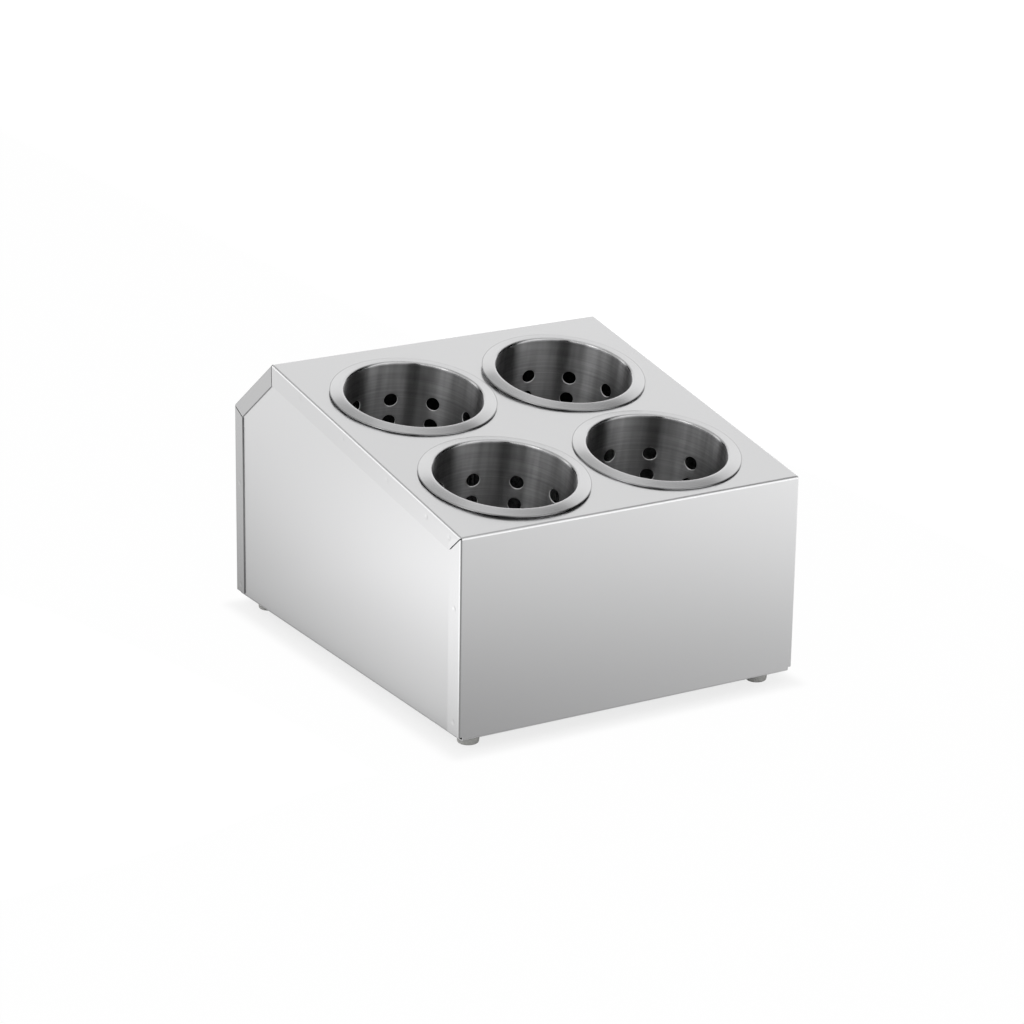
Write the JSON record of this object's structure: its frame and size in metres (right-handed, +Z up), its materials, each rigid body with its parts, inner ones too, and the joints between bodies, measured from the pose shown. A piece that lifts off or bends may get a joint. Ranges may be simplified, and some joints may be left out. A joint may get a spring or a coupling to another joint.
{
  "type": "cutlery holder",
  "caption": "Countertop cutlery holder: folded stainless housing with a sloped top and lift-out perforated cylinders, on rubber feet.",
  "frame": {"origin": "on the ground, under the middle of the housing", "axes": "+X to the right seen from the front, +Y from the low front to the high back, +Z up"},
  "size_m": [0.26, 0.315, 0.1933],
  "materials": {
    "housing_steel": "fine vertical and lengthwise brushing",
    "cylinder_steel": "polished rim, circular brushing inside",
    "foot_rubber": "pale grey, slightly translucent",
    "fastener_steel": "plain bright steel"
  },
  "bodies": {
    "housing": {"wrapper_panel": "housing_steel", "left_side_panel": "housing_steel", "right_side_panel": "housing_steel", "front_left_foot": "foot_rubber", "front_right_foot": "foot_rubber", "rear_left_foot": "foot_rubber", "rear_right_foot": "foot_rubber", "foot_screws": "fastener_steel", "foot_washers": "fastener_steel", "foot_nuts": "fastener_steel"},
    "front_left_cylinder": {"front_left_cylinder_wall": "cylinder_steel", "front_left_cylinder_base": "cylinder_steel"},
    "front_right_cylinder": {"front_right_cylinder_wall": "cylinder_steel", "front_right_cylinder_base": "cylinder_steel"},
    "rear_left_cylinder": {"rear_left_cylinder_wall": "cylinder_steel", "rear_left_cylinder_base": "cylinder_steel"},
    "rear_right_cylinder": {"rear_right_cylinder_wall": "cylinder_steel", "rear_right_cylinder_base": "cylinder_steel"}
  },
  "joints": [
    {"name": "front_left_cylinder_lift", "type": "slide", "parent": "housing", "child": "front_left_cylinder", "axis": [0, -0.1681, 0.9858], "range_m": [0, 0.145]},
    {"name": "front_right_cylinder_lift", "type": "slide", "parent": "housing", "child": "front_right_cylinder", "axis": [0, -0.175, 0.9846], "range_m": [0, 0.145]},
    {"name": "rear_left_cylinder_lift", "type": "slide", "parent": "housing", "child": "rear_left_cylinder", "axis": [0, -0.187, 0.9824], "range_m": [0, 0.145]},
    {"name": "rear_right_cylinder_lift", "type": "slide", "parent": "housing", "child": "rear_right_cylinder", "axis": [0, -0.199, 0.98], "range_m": [0, 0.145]}
  ]
}
